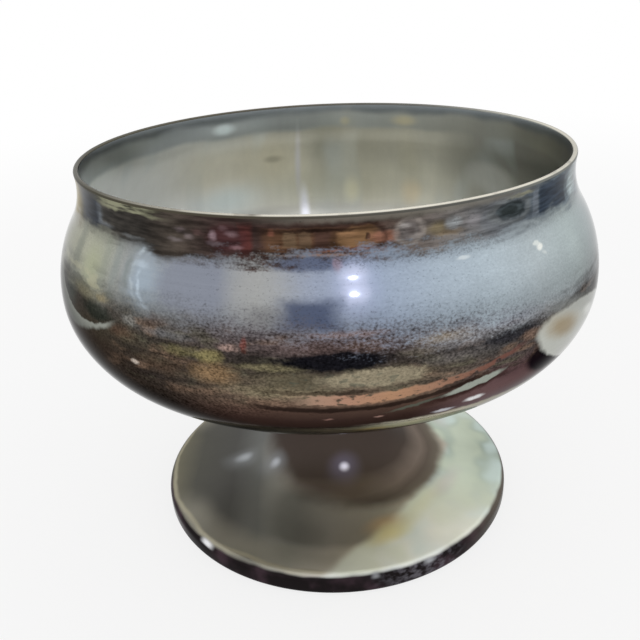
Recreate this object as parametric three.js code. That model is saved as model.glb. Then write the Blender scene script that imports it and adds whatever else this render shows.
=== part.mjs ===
// Footed dessert bowl of silver-plated nickel silver, spun from sheet.
// A round-bellied bowl, drawn in under its rim, stands on a hollow trumpet foot.
// One seam of soft solder joins the flange of the foot to the flat under the bowl.
// Millimetres, +Z up. The origin is on the table, on the axis of the bowl.

import * as THREE from "three";

// Driving dimensions of the bowl
const BELLY_RADIUS = 50; // outside, at the widest girth
const BELLY_RISE = 20.7; // from the flat under the bowl up to the widest girth
const HIP_ANGLE = 34; // degrees that the shallow base curve turns before the hip begins
const NECK_RISE = 19.7; // from the widest girth up to the narrowest ring of the neck
const NECK_DRAW = 5.7; // how far the neck is drawn in from the girth
const NECK_CURVE = 13; // radius of the hollow curve of the neck and lip
const LIP_RISE = 1.7; // from the narrowest ring of the neck up to the lip
const BOWL_WALL = 0.9;

// Driving dimensions of the foot
const FOOT_RADIUS = 36.7; // outside, at the skirt
const SKIRT_HEIGHT = 2.6; // from the table to the top of the upright skirt
const SHOULDER_BEND = 1.0; // inside radius where the skirt turns into the dish
const HEM_BEND = 0.3; // inside radius where the skirt turns under
const HEM_WIDTH = 2.8; // flat ring that stands on the table
const DISH_SLOPE = 10; // degrees, from the shoulder up towards the stem
const DISH_CURVE = 13; // radius of the hollow curve from the dish to the stem
const STEM_RADIUS = 10.2; // outside, at the waist
const STEM_LENGTH = 6.6; // straight stretch of the stem
const FLARE_CURVE = 4; // radius that turns the stem out into the flange
const FLANGE_WIDTH = 1.6; // flat ring that is soldered to the bowl
const FOOT_WALL = 0.9;

// Driving dimensions of the solder seam
const SOLDER_FILM = 0.15; // thickness between the flange and the bowl
const SOLDER_LEG = 0.75; // how far the fillet creeps down the edge of the flange
const SEAT_MARGIN = 0.8; // flat left on the bowl outside the fillet

// How finely the curves are divided
const TURN_STEPS = 60; // facets round the axis
const CURVE_TOLERANCE = 0.05; // how far a facet of a profile may cut inside its arc

const { degToRad, radToDeg } = THREE.MathUtils;

// Which way the visible face of an arc looks: away from its centre, or towards it
const BULGING = 1;
const HOLLOW = -1;

// A profile point: radius r, height z, and the direction in which that face looks out of the metal.
function profilePoint(r, z, outR, outZ) {
  return { r, z, outR, outZ };
}

// How many chords an arc needs so that none departs from it by more than the tolerance.
function chordsFor(radius, degrees) {
  const perChord = 2 * radToDeg(Math.acos(1 - CURVE_TOLERANCE / radius));
  return Math.ceil(Math.abs(degrees) / perChord);
}

// Points of an arc round (centreR, centreZ), with its angles in degrees from the outward radius.
function arc(centreR, centreZ, radius, from, to, facing) {
  const chords = chordsFor(radius, to - from);
  return Array.from({ length: chords + 1 }, (_, i) => {
    const angle = degToRad(from + ((to - from) * i) / chords);
    const [c, s] = [Math.cos(angle), Math.sin(angle)];
    return profilePoint(centreR + radius * c, centreZ + radius * s, facing * c, facing * s);
  });
}

// Drops each point that repeats the one before it, where two arcs meet.
function withoutRepeats(points) {
  const apart = 1e-6;
  return points.filter(
    (p, i) => i === 0 || Math.hypot(p.r - points[i - 1].r, p.z - points[i - 1].z) > apart,
  );
}

// The other face of sheet metal whose visible face is given, in the same order.
function otherFace(points, wall) {
  return points.map((p) =>
    profilePoint(p.r - wall * p.outR, p.z - wall * p.outZ, -p.outR, -p.outZ),
  );
}

// Half-round edge that leads from the last point of the visible face over to the other face.
function roundedEdge(last, wall) {
  const half = wall / 2;
  const facing = radToDeg(Math.atan2(last.outZ, last.outR));
  const across = arc(
    last.r - half * last.outR,
    last.z - half * last.outZ,
    half,
    facing,
    facing + 180,
    BULGING,
  );
  return across.slice(1, -1);
}

// Turns a profile that runs from axis to axis, or closes on itself, round the Z axis.
function turned(points) {
  const profile = points.map((p) => new THREE.Vector2(p.r, p.z));
  return new THREE.LatheGeometry(profile, TURN_STEPS).rotateX(Math.PI / 2);
}

function turnedRing(points) {
  return turned([...points, points[0]]);
}

// The foot, from the table up to its flange

const shoulderRadius = SHOULDER_BEND + FOOT_WALL;
const hemRadius = HEM_BEND + FOOT_WALL;
const slope = degToRad(DISH_SLOPE);
const dishFromR = FOOT_RADIUS - shoulderRadius * (1 - Math.sin(slope));
const dishFromZ = SKIRT_HEIGHT + shoulderRadius * Math.cos(slope);
const dishToR = STEM_RADIUS + DISH_CURVE * (1 - Math.sin(slope));
const dishToZ = dishFromZ + (dishFromR - dishToR) * Math.tan(slope);
const stemFromZ = dishToZ + DISH_CURVE * Math.cos(slope);
const stemToZ = stemFromZ + STEM_LENGTH;
const flangeFromR = STEM_RADIUS + FLARE_CURVE;
const flangeToR = flangeFromR + FLANGE_WIDTH;
const flangeUnderZ = stemToZ + FLARE_CURVE;
const flangeTopZ = flangeUnderZ + FOOT_WALL;

// The visible face, from the hem on the table to the edge of the flange under the bowl.
function footOutside() {
  const hemR = FOOT_RADIUS - hemRadius;
  const shoulderR = FOOT_RADIUS - shoulderRadius;
  return withoutRepeats([
    profilePoint(hemR - HEM_WIDTH, 0, 0, -1),
    ...arc(hemR, hemRadius, hemRadius, -90, 0, BULGING),
    ...arc(shoulderR, SKIRT_HEIGHT, shoulderRadius, 0, 90 - DISH_SLOPE, BULGING),
    ...arc(STEM_RADIUS + DISH_CURVE, stemFromZ, DISH_CURVE, 270 - DISH_SLOPE, 180, HOLLOW),
    ...arc(flangeFromR, stemToZ, FLARE_CURVE, 180, 90, HOLLOW),
    profilePoint(flangeToR, flangeUnderZ, 0, -1),
  ]);
}

function footShell() {
  const outside = footOutside();
  return turnedRing([...outside, ...otherFace(outside, FOOT_WALL).reverse()]);
}

// The solder, as a film on the flange that creeps over its edge in a hollow fillet

const filletRadius = SOLDER_FILM + SOLDER_LEG;
const seatZ = flangeTopZ + SOLDER_FILM;

function solderSeam() {
  return turnedRing([
    profilePoint(flangeFromR, flangeTopZ, 0, -1),
    profilePoint(flangeToR, flangeTopZ, 0, -1),
    ...arc(flangeToR + filletRadius, seatZ - filletRadius, filletRadius, 180, 90, HOLLOW),
    profilePoint(flangeFromR, seatZ, 0, 1),
  ]);
}

// The bowl, from the flat that sits in the solder up to its lip

const seatRadius = flangeToR + filletRadius + SEAT_MARGIN;
const bellyZ = seatZ + BELLY_RISE;
const neckZ = bellyZ + NECK_RISE;

// The base curve leaves the flat level and the hip arrives at the girth upright,
// so their two radii follow from the width and the height that they cover together.
function baseAndHipRadii() {
  const [s, c] = [Math.sin(degToRad(HIP_ANGLE)), Math.cos(degToRad(HIP_ANGLE))];
  const width = BELLY_RADIUS - seatRadius;
  const share = s + c - 1;
  return {
    base: (width * c - BELLY_RISE * (1 - s)) / share,
    hip: (BELLY_RISE * s - width * (1 - c)) / share,
  };
}

// The shoulder leaves the girth upright and meets the hollow curve of the neck without a crease.
function shoulderOfBowl() {
  const bothRadii = (NECK_DRAW ** 2 + NECK_RISE ** 2) / (2 * NECK_DRAW);
  return {
    radius: bothRadii - NECK_CURVE,
    angle: radToDeg(Math.asin(NECK_RISE / bothRadii)),
  };
}

function bowlOutside() {
  const { base, hip } = baseAndHipRadii();
  const shoulder = shoulderOfBowl();
  const shoulderR = BELLY_RADIUS - shoulder.radius;
  const neckCentreR = BELLY_RADIUS - NECK_DRAW + NECK_CURVE;
  const neckFrom = 180 + shoulder.angle;
  const lipAt = 180 - radToDeg(Math.asin(LIP_RISE / NECK_CURVE));
  return withoutRepeats([
    profilePoint(0, seatZ, 0, -1),
    ...arc(seatRadius, seatZ + base, base, -90, HIP_ANGLE - 90, BULGING),
    ...arc(BELLY_RADIUS - hip, bellyZ, hip, HIP_ANGLE - 90, 0, BULGING),
    ...arc(shoulderR, bellyZ, shoulder.radius, 0, shoulder.angle, BULGING),
    ...arc(neckCentreR, neckZ, NECK_CURVE, neckFrom, lipAt, HOLLOW),
  ]);
}

function bowlShell() {
  const outside = bowlOutside();
  const lip = roundedEdge(outside.at(-1), BOWL_WALL);
  return turned([...outside, ...lip, ...otherFace(outside, BOWL_WALL).reverse()]);
}

// Tarnished silver plate, duller on the foot, and grey solder

function piece(name, geometry, color, roughness) {
  const material = new THREE.MeshStandardMaterial({ color, roughness, metalness: 1 });
  const mesh = new THREE.Mesh(geometry, material);
  mesh.name = name;
  return mesh;
}

const dessertBowl = new THREE.Group();
dessertBowl.add(
  piece("bowl_shell", bowlShell(), 0x8b8a8c, 0.28),
  piece("foot_shell", footShell(), 0x8e9088, 0.4),
  piece("solder_seam", solderSeam(), 0x83837f, 0.55),
);

export default dessertBowl;
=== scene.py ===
# Footed dessert bowl of tarnished silver plate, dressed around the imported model.
# Lengths are in millimetres until a mesh, lamp or camera is placed, and azimuths in degrees
# from the front, positive to the right.

import math
from collections import namedtuple

import bpy
from mathutils import Matrix, Vector, noise


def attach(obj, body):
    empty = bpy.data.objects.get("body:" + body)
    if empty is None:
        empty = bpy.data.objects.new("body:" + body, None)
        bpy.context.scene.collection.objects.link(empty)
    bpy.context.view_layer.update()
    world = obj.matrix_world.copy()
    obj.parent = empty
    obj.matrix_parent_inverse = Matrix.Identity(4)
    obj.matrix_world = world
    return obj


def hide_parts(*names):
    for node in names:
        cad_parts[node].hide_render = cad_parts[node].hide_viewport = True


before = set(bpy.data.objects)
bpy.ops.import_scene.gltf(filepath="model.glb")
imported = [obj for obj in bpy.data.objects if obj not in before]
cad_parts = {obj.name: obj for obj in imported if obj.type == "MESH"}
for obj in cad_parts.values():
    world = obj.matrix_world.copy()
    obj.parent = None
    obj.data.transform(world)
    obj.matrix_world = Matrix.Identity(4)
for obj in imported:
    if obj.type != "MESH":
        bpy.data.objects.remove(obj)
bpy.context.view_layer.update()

MM = 0.001

# Bowl
BELLY_RADIUS = 50.0
BELLY_RISE = 20.7
HIP_ANGLE = 34.0
NECK_RISE = 19.7
NECK_DRAW = 5.7
NECK_CURVE = 13.0
LIP_RISE = 1.7
BOWL_WALL = 0.9

# Foot
FOOT_RADIUS = 36.7
SKIRT_HEIGHT = 2.6
SHOULDER_RADIUS = 1.9
HEM_RADIUS = 1.2
HEM_WIDTH = 2.8
DISH_SLOPE = 10.0
DISH_CURVE = 13.0
STEM_RADIUS = 10.2
STEM_LENGTH = 6.6
FLARE_CURVE = 4.0
FLANGE_WIDTH = 1.6
FOOT_WALL = 0.9

# Solder seam
SOLDER_FILM = 0.15
SOLDER_LEG = 0.75
SEAT_MARGIN = 0.8

# Fineness of the meshes
TURN_STEPS = 320
FLATNESS = 0.006
SAME_POINT = 1e-6
SHARP_ANGLE = 40.0

# Handling dents, which only ever push the metal inwards. Near the seat, neck, stem and rim
# the metal stays true, and further off the dents are full.
DENT_DEPTH = 0.14
DENT_SPREAD = 19.0
TRUE_ABOVE_SEAT = 4.0
FULL_ABOVE_SEAT = 14.0
FULL_BELOW_NECK = 9.0
TRUE_OFF_STEM = 2.0
FULL_OFF_STEM = 9.0
TRUE_RIM_RADIUS = 35.0
FULL_RIM_RADIUS = 30.0

# Photographer's view
CAMERA_AT = (0.0, -136.6, 102.5)
CAMERA_PITCH = 25.24
CAMERA_YAW = -0.90
CAMERA_ROLL = -2.64
CAMERA_LENS = 41.57
SENSOR_WIDTH = 36.0
CLIP_START = 0.01

# Which way the visible face of an arc looks: away from its centre, or towards it
BULGING = 1
HOLLOW = -1

# A place on a profile, and the direction in which the face looks there, out of the metal
Point = namedtuple("Point", "r z out_r out_z")


# Profiles

def arc(centre_r, centre_z, radius, start, end, facing):
    """Points of an arc, with its angles in degrees from the outward radius."""
    turn = math.radians(end - start)
    per_chord = 2 * math.acos(1 - FLATNESS / radius)
    chords = math.ceil(abs(turn) / per_chord)
    points = []
    for i in range(chords + 1):
        angle = math.radians(start) + turn * i / chords
        c, s = math.cos(angle), math.sin(angle)
        points.append(
            Point(centre_r + radius * c, centre_z + radius * s, facing * c, facing * s)
        )
    return points


def meet(p, q):
    return math.hypot(p.r - q.r, p.z - q.z) < SAME_POINT


def joined(*stretches):
    """One profile of several stretches, without the points where they meet twice."""
    points = []
    for p in (p for stretch in stretches for p in stretch):
        if not points or not meet(p, points[-1]):
            points.append(p)
    return points


def other_face(points, wall):
    """The far face of the sheet metal, in the opposite order."""
    moved = [
        Point(p.r - wall * p.out_r, p.z - wall * p.out_z, -p.out_r, -p.out_z)
        for p in points
    ]
    return moved[::-1]


def rounded_edge(last, wall):
    """Half-round lip that leads from the last point of one face over to the other."""
    half = wall / 2
    facing = math.degrees(math.atan2(last.out_z, last.out_r))
    centre_r = last.r - half * last.out_r
    centre_z = last.z - half * last.out_z
    return arc(centre_r, centre_z, half, facing, facing + 180, BULGING)


def foot_face():
    """The visible face of the foot, from the hem on the table to the edge of the flange."""
    hem_r = FOOT_RADIUS - HEM_RADIUS
    shoulder_r = FOOT_RADIUS - SHOULDER_RADIUS
    dish_r = STEM_RADIUS + DISH_CURVE
    return joined(
        [Point(hem_r - HEM_WIDTH, 0, 0, -1)],
        arc(hem_r, HEM_RADIUS, HEM_RADIUS, -90, 0, BULGING),
        arc(shoulder_r, SKIRT_HEIGHT, SHOULDER_RADIUS, 0, 90 - DISH_SLOPE, BULGING),
        arc(dish_r, stem_from_z, DISH_CURVE, 270 - DISH_SLOPE, 180, HOLLOW),
        arc(flange_from_r, stem_to_z, FLARE_CURVE, 180, 90, HOLLOW),
        [Point(flange_to_r, flange_top_z - FOOT_WALL, 0, -1)],
    )


def bowl_face():
    """The outside of the bowl, from its axis to its lip."""
    s, c = math.sin(math.radians(HIP_ANGLE)), math.cos(math.radians(HIP_ANGLE))
    width = BELLY_RADIUS - seat_r
    base = (width * c - BELLY_RISE * (1 - s)) / (s + c - 1)
    hip = (BELLY_RISE * s - width * (1 - c)) / (s + c - 1)
    both_radii = (NECK_DRAW**2 + NECK_RISE**2) / (2 * NECK_DRAW)
    shoulder = both_radii - NECK_CURVE
    turn = math.degrees(math.asin(NECK_RISE / both_radii))
    neck_r = BELLY_RADIUS - NECK_DRAW + NECK_CURVE
    lip_at = 180 - math.degrees(math.asin(LIP_RISE / NECK_CURVE))
    return joined(
        [Point(0, seat_z, 0, -1)],
        arc(seat_r, seat_z + base, base, -90, HIP_ANGLE - 90, BULGING),
        arc(BELLY_RADIUS - hip, belly_z, hip, HIP_ANGLE - 90, 0, BULGING),
        arc(BELLY_RADIUS - shoulder, belly_z, shoulder, 0, turn, BULGING),
        arc(neck_r, neck_z, NECK_CURVE, 180 + turn, lip_at, HOLLOW),
    )


slope = math.radians(DISH_SLOPE)
dish_from_r = FOOT_RADIUS - SHOULDER_RADIUS * (1 - math.sin(slope))
dish_from_z = SKIRT_HEIGHT + SHOULDER_RADIUS * math.cos(slope)
dish_to_r = STEM_RADIUS + DISH_CURVE * (1 - math.sin(slope))
dish_to_z = dish_from_z + (dish_from_r - dish_to_r) * math.tan(slope)
stem_from_z = dish_to_z + DISH_CURVE * math.cos(slope)
stem_to_z = stem_from_z + STEM_LENGTH
flange_from_r = STEM_RADIUS + FLARE_CURVE
flange_to_r = flange_from_r + FLANGE_WIDTH
flange_top_z = stem_to_z + FLARE_CURVE + FOOT_WALL

fillet = SOLDER_FILM + SOLDER_LEG
seat_z = flange_top_z + SOLDER_FILM
seat_r = flange_to_r + fillet + SEAT_MARGIN
belly_z = seat_z + BELLY_RISE
neck_z = belly_z + NECK_RISE


# Meshes

def eased(x, low, high):
    t = min(1.0, max(0.0, (x - low) / (high - low)))
    return t * t * (3 - 2 * t)


def bowl_dent(x, y, z):
    """How far the bowl is pushed in at a point. Its seat and its lip stay true."""
    off_seat = eased(z, seat_z + TRUE_ABOVE_SEAT, seat_z + FULL_ABOVE_SEAT)
    off_lip = eased(z, neck_z, neck_z - FULL_BELOW_NECK)
    return dent(x, y, z) * (off_seat * off_lip)


def foot_dent(x, y, z):
    """The same for the foot, which stays true at its rim and up its stem."""
    r = math.hypot(x, y)
    off_stem = eased(r, STEM_RADIUS + TRUE_OFF_STEM, STEM_RADIUS + FULL_OFF_STEM)
    off_rim = eased(r, TRUE_RIM_RADIUS, FULL_RIM_RADIUS)
    return dent(x, y, z) * off_stem * off_rim


def dent(x, y, z):
    at = Vector((x, y, z)) / DENT_SPREAD
    return DENT_DEPTH * (0.5 + 0.5 * noise.noise(at)) ** 2


def no_dent(x, y, z):
    return 0.0


def turned(name, faces, closed, pushed_in=no_dent):
    """Spins profile stretches round the axis. Each stretch is (points, its material)."""
    points, metals = [], []
    for stretch, metal in faces:
        for p in stretch:
            if points and meet(p, points[-1]):
                continue
            if points:
                metals.append(metal)
            points.append(p)
    if closed:
        metals.append(faces[-1][1])

    vertices, rows = [], []
    for p in points:
        steps = TURN_STEPS if p.r > SAME_POINT else 1
        rows.append([len(vertices) + i for i in range(steps)])
        for i in range(steps):
            angle = 2 * math.pi * i / TURN_STEPS
            c, s = math.cos(angle), math.sin(angle)
            r = p.r - pushed_in(p.r * c, p.r * s, p.z)
            vertices.append((r * c * MM, r * s * MM, p.z * MM))

    polygons, of_metal = [], []
    following = rows[1:] + rows[:1] if closed else rows[1:]
    for low, high, metal in zip(rows, following, metals):
        for i in range(TURN_STEPS):
            j = (i + 1) % TURN_STEPS
            if len(low) == 1:
                polygons.append((low[0], high[j], high[i]))
            elif len(high) == 1:
                polygons.append((low[i], low[j], high[0]))
            else:
                polygons.append((low[i], low[j], high[j], high[i]))
            of_metal.append(metal)

    mesh = bpy.data.meshes.new(name)
    mesh.from_pydata(vertices, [], polygons)
    mesh.validate()
    mesh.polygons.foreach_set("use_smooth", [True] * len(mesh.polygons))
    mesh.set_sharp_from_angle(angle=math.radians(SHARP_ANGLE))
    piece = bpy.data.objects.new(name, mesh)
    bpy.context.scene.collection.objects.link(piece)
    used = list(dict.fromkeys(metal for _, metal in faces))
    for metal in used:
        mesh.materials.append(metal)
    mesh.polygons.foreach_set("material_index", [used.index(metal) for metal in of_metal])
    return piece


# Materials

def linear(code):
    """A colour written as rrggbb, as it is seen, in the linear form that shaders take."""
    channels = [int(code[i : i + 2], 16) / 255 for i in (0, 2, 4)]
    scene = [c / 12.92 if c <= 0.04045 else ((c + 0.055) / 1.055) ** 2.4 for c in channels]
    return (*scene, 1.0)


class Field:
    """A number that varies over a surface, as a node's output that formulas can use."""

    def __init__(self, graph, socket):
        self.graph = graph
        self.socket = socket

    def __add__(self, other):
        return self.graph.math("ADD", self, other)

    __radd__ = __add__

    def __sub__(self, other):
        return self.graph.math("SUBTRACT", self, other)

    def __rsub__(self, other):
        return self.graph.math("SUBTRACT", other, self)

    def __mul__(self, other):
        return self.graph.math("MULTIPLY", self, other)

    def __abs__(self):
        return self.graph.math("ABSOLUTE", self)


class Graph:
    """The node graph of one metal, and the fields that its patterns are made of."""

    def __init__(self, name):
        self.material = bpy.data.materials.new(name)
        self.material.use_nodes = True
        self.tree = self.material.node_tree
        self.shader = self.tree.nodes["Principled BSDF"]
        self.shader.inputs["Metallic"].default_value = 1.0
        position = self.tree.nodes.new("ShaderNodeTexCoord").outputs["Object"]
        self.place = self.vector("SCALE", position, scale=1 / MM)

    def feed(self, socket, value):
        if isinstance(value, Field):
            value = value.socket
        if isinstance(value, bpy.types.NodeSocket):
            self.tree.links.new(value, socket)
        else:
            socket.default_value = value

    def math(self, operation, *values):
        node = self.tree.nodes.new("ShaderNodeMath")
        node.operation = operation
        for socket, value in zip(node.inputs, values):
            self.feed(socket, value)
        return Field(self, node.outputs[0])

    def vector(self, operation, *values, scale=None):
        node = self.tree.nodes.new("ShaderNodeVectorMath")
        node.operation = operation
        for socket, value in zip(node.inputs, values):
            self.feed(socket, value)
        if scale is not None:
            node.inputs["Scale"].default_value = scale
        return node.outputs["Value" if operation == "LENGTH" else "Vector"]

    def split(self, vector):
        node = self.tree.nodes.new("ShaderNodeSeparateXYZ")
        self.feed(node.inputs[0], vector)
        return [Field(self, socket) for socket in node.outputs]

    def join(self, x, y, z):
        node = self.tree.nodes.new("ShaderNodeCombineXYZ")
        for socket, value in zip(node.inputs, (x, y, z)):
            self.feed(socket, value)
        return node.outputs[0]

    def length(self, x, y):
        """How far a place is from the middle, in whatever x and y measure."""
        return Field(self, self.vector("LENGTH", self.join(x, y, 0)))

    def ease(self, value, low, high):
        """0 below low and 1 above high, or the reverse where low is the higher."""
        node = self.tree.nodes.new("ShaderNodeMapRange")
        node.interpolation_type = "SMOOTHSTEP"
        self.feed(node.inputs["Value"], value)
        self.feed(node.inputs["From Min"], low)
        self.feed(node.inputs["From Max"], high)
        return Field(self, node.outputs[0])

    def between(self, value, low, high, soft):
        """1 from low to high, with edges that fade over soft to either side of them."""
        rising = self.ease(value, low - soft, low + soft)
        return rising * self.ease(value, high + soft, high - soft)

    def grain(self, size, detail=2.0, stretch=(1, 1, 1), where=None, colour=False):
        """Noise with marks about as long as size, in millimetres, about an even 0.5."""
        at = self.vector("DIVIDE", where or self.place, stretch)
        node = self.tree.nodes.new("ShaderNodeTexNoise")
        node.inputs["Scale"].default_value = 1 / size
        node.inputs["Detail"].default_value = detail
        self.feed(node.inputs["Vector"], at)
        return node.outputs["Color"] if colour else Field(self, node.outputs[0])

    def spin_lines(self, size):
        """Fine rings left by spinning and polishing, whichever way the wall leans."""
        x, y, height = self.split(self.place)
        drift = self.azimuth(self.place) * 0.02
        return self.grain(size, where=self.join(self.length(x, y), height, drift)) - 0.5

    def wander(self, where, size, amount):
        """Shifts a place at random, so that edges drawn with it aren't ruled."""
        random = self.grain(size, colour=True, where=where)
        centred = self.vector("SUBTRACT", random, (0.5, 0.5, 0.5))
        return self.vector("MULTIPLY_ADD", centred, amount, where)

    def mix(self, under, over, amount):
        node = self.tree.nodes.new("ShaderNodeMix")
        node.data_type = "RGBA"
        self.feed(node.inputs[0], amount)
        for socket, colour in ((node.inputs[6], under), (node.inputs[7], over)):
            self.feed(socket, linear(colour) if isinstance(colour, str) else colour)
        return node.outputs[2]

    def shade(self, colour, amount):
        """Darkens a colour below 1 and lightens it above."""
        return self.vector("MULTIPLY", colour, self.join(amount, amount, amount))

    def ramp(self, value, stops):
        """Colours at given values, blended between them."""
        low, high = stops[0][0], stops[-1][0]
        node = self.tree.nodes.new("ShaderNodeValToRGB")
        elements = node.color_ramp.elements
        while len(elements) < len(stops):
            elements.new(0.5)
        for element, (at, colour) in zip(elements, stops):
            element.position = (at - low) / (high - low)
            element.color = linear(colour)
        self.feed(node.inputs[0], self.math("DIVIDE", value - low, high - low))
        return node.outputs[0]

    def azimuth(self, where, folded=True):
        """Degrees from the front. Where it is folded, it is 0 behind the bowl as well."""
        x, y, _ = self.split(where)
        depth = abs(y) if folded else 0 - y
        return self.math("DEGREES", self.math("ARCTAN2", x, depth))

    def finish(self, colour, roughness, relief):
        """Gives the shader its colour and roughness, and a relief in millimetres."""
        bump = self.tree.nodes.new("ShaderNodeBump")
        bump.inputs["Strength"].default_value = 1.0
        bump.inputs["Distance"].default_value = MM
        self.feed(bump.inputs["Height"], relief)
        self.feed(self.shader.inputs["Base Color"], colour)
        self.feed(self.shader.inputs["Roughness"], roughness)
        self.feed(self.shader.inputs["Normal"], bump.outputs[0])
        return self.material


# A mark of the finish, by its middle and its half sizes. Its edge fades over the share soft.
Mark = namedtuple("Mark", "azimuth height half_width half_height colour strength soft")


def reach(graph, at, mark, rough, square=False):
    """How far out on a mark a place lies: 0 at its middle and 1 on its edge."""
    offset = graph.vector("SUBTRACT", at, (mark.azimuth, mark.height, 0))
    scaled = graph.vector("DIVIDE", offset, (mark.half_width, mark.half_height, 1))
    if square:
        across, along, _ = graph.split(graph.vector("ABSOLUTE", scaled))
        return graph.math("MAXIMUM", across, along) + rough
    return Field(graph, graph.vector("LENGTH", scaled)) + rough


def within(graph, at, mark, rough, square=False):
    """1 on a mark and 0 off it."""
    return graph.ease(reach(graph, at, mark, rough, square), 1 + mark.soft, 1 - mark.soft)


def paint_marks(graph, colour, at, rough, marks, square=False):
    """Lays oval or square marks over a colour. The rough field breaks up their edges."""
    for mark in marks:
        amount = within(graph, at, mark, rough, square) * mark.strength
        colour = graph.mix(colour, mark.colour, amount)
    return colour


def paint_rings(graph, colour, at, rough, rings):
    """The same for the outlines of ovals, whose softness is the width of the line."""
    for ring in rings:
        on_line = graph.ease(abs(reach(graph, at, ring, rough) - 1), ring.soft, 0)
        colour = graph.mix(colour, ring.colour, on_line * ring.strength)
    return colour


# Marks of the outside, painted in this order. Most are painted reflections, glints and halos
# over the tarnish.
REFLECTED_BAND_MARKS = [
    Mark(-24, 64.0, 7.2, 3.6, "858a97", 0.75, 0.25),
    Mark(-12, 64.3, 5.0, 3.8, "a9a9a6", 0.5, 0.6),
    Mark(-66, 68.2, 6.0, 1.6, "7d7356", 0.6, 0.7),
    Mark(-58, 64.0, 1.8, 4.5, "6f7468", 0.6, 0.7),
    Mark(-50.5, 63.2, 3.2, 2.4, "a6ab88", 0.5, 0.8),
    Mark(-46, 64.4, 1.1, 4.2, "8b9184", 0.4, 0.8),
    Mark(-42.4, 64.6, 1.0, 3.6, "838b89", 0.5, 0.8),
    Mark(-35, 63.6, 3.4, 3.2, "a3b4c4", 0.55, 0.8),
    Mark(-39, 64.0, 1.0, 3.0, "868d8c", 0.45, 0.8),
    Mark(-35.8, 65.6, 1.6, 0.4, "c2d0dc", 0.5, 0.95),
    Mark(-3.4, 67.5, 6.8, 0.9, "4d5670", 0.75, 0.45),
    Mark(-10.5, 61.2, 3.0, 1.3, "6c6b6c", 0.55, 0.8),
    Mark(1.6, 67.4, 0.8, 0.9, "94767a", 0.6, 0.6),
    # Painted halos about the lamp's two bright points, then small painted highlights to the
    # right
    Mark(4.2, 65.8, 1.7, 1.0, "e6eaff", 0.8, 1.0),
    Mark(4.3, 63.9, 1.7, 1.0, "e6eaff", 0.8, 1.0),
    Mark(4.2, 64.8, 3.0, 2.8, "bcc6ea", 0.5, 0.9),
    Mark(24.0, 66.3, 1.3, 0.22, "dde4e6", 0.6, 0.6),
    Mark(41.3, 65.4, 0.8, 0.25, "dfe4e0", 0.8, 0.5),
    Mark(42.0, 64.8, 0.9, 0.42, "f0f2ec", 0.9, 0.5),
    Mark(42.7, 63.9, 0.6, 0.3, "d2d8d6", 0.6, 0.6),
]

BELLY_MARKS = [
    Mark(-50, 59.6, 5.5, 1.1, "85806a", 0.7, 0.7),
    Mark(-44.5, 59.6, 1.6, 0.7, "a29473", 0.7, 0.7),
    Mark(-58, 57.8, 3.0, 1.8, "555a54", 0.6, 0.7),
    Mark(-46.0, 57.2, 5.0, 1.4, "2b2f2a", 0.85, 0.5),
    Mark(-36.3, 58.0, 1.6, 0.6, "8e8d88", 0.6, 0.7),
    Mark(-28, 57.4, 4.5, 0.5, "747476", 0.5, 0.8),
    Mark(-31, 59.2, 2.2, 0.8, "4a3a34", 0.55, 0.8),
    Mark(-38.5, 55.8, 3.0, 0.9, "5a4234", 0.5, 0.8),
    Mark(-16.5, 56.8, 1.5, 0.4, "a58b82", 0.7, 0.7),
    Mark(-13.9, 57.4, 0.4, 0.9, "7c3a2e", 0.55, 0.6),
    Mark(0.5, 57.4, 8.5, 1.4, "64524f", 0.6, 0.6),
    Mark(2.5, 58.9, 5.5, 0.4, "a0847c", 0.6, 0.7),
    Mark(19, 57.0, 4.6, 0.7, "a09280", 0.7, 0.8),
    Mark(14, 55.6, 3.4, 0.5, "7e756a", 0.5, 0.8),
    Mark(30, 57.9, 9.0, 1.4, "777582", 0.6, 0.7),
    Mark(23, 56.1, 5.5, 0.9, "868486", 0.6, 0.8),
    Mark(20, 53.9, 5.0, 0.7, "6c6765", 0.55, 0.8),
    Mark(31, 54.8, 5.6, 0.9, "2c2c31", 0.85, 0.6),
    Mark(36, 53.6, 2.4, 0.8, "7a6456", 0.7, 0.6),
    Mark(-12, 55.3, 3.4, 0.6, "2a2723", 0.7, 0.5),
    Mark(-25.5, 55.4, 2.8, 0.7, "6f6848", 0.65, 0.7),
    Mark(-20, 55.3, 2.2, 0.9, "8d8359", 0.75, 0.6),
    Mark(-30, 52.6, 4.5, 1.2, "4f3f33", 0.6, 0.7),
    Mark(-19.5, 52.8, 3.6, 1.4, "8b7052", 0.75, 0.7),
    Mark(-9.5, 54.4, 5.0, 0.5, "857d5f", 0.65, 0.7),
    Mark(-9, 50.6, 7.0, 1.1, "80765f", 0.7, 0.7),
    Mark(-7, 52.5, 4.5, 1.2, "655e4c", 0.7, 0.6),
    Mark(6.5, 52.5, 8.4, 1.35, "958b75", 0.9, 0.25),
    Mark(-35.5, 51.7, 0.9, 0.4, "c4b8ac", 0.8, 0.5),
    Mark(1.0, 55.2, 8.4, 1.3, "131318", 0.97, 0.3),
]

# Painted glints and reflected specks low on the belly
GLINTS = [
    Mark(25.2, 45.2, 1.7, 0.45, "ffffff", 0.9, 0.6),
    Mark(19.4, 44.1, 1.8, 0.35, "e0e0e6", 0.8, 0.6),
    Mark(-1.0, 45.4, 0.8, 0.18, "8f6f66", 0.7, 0.6),
    Mark(7.5, 45.3, 0.8, 0.18, "a5857a", 0.7, 0.6),
]

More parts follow.
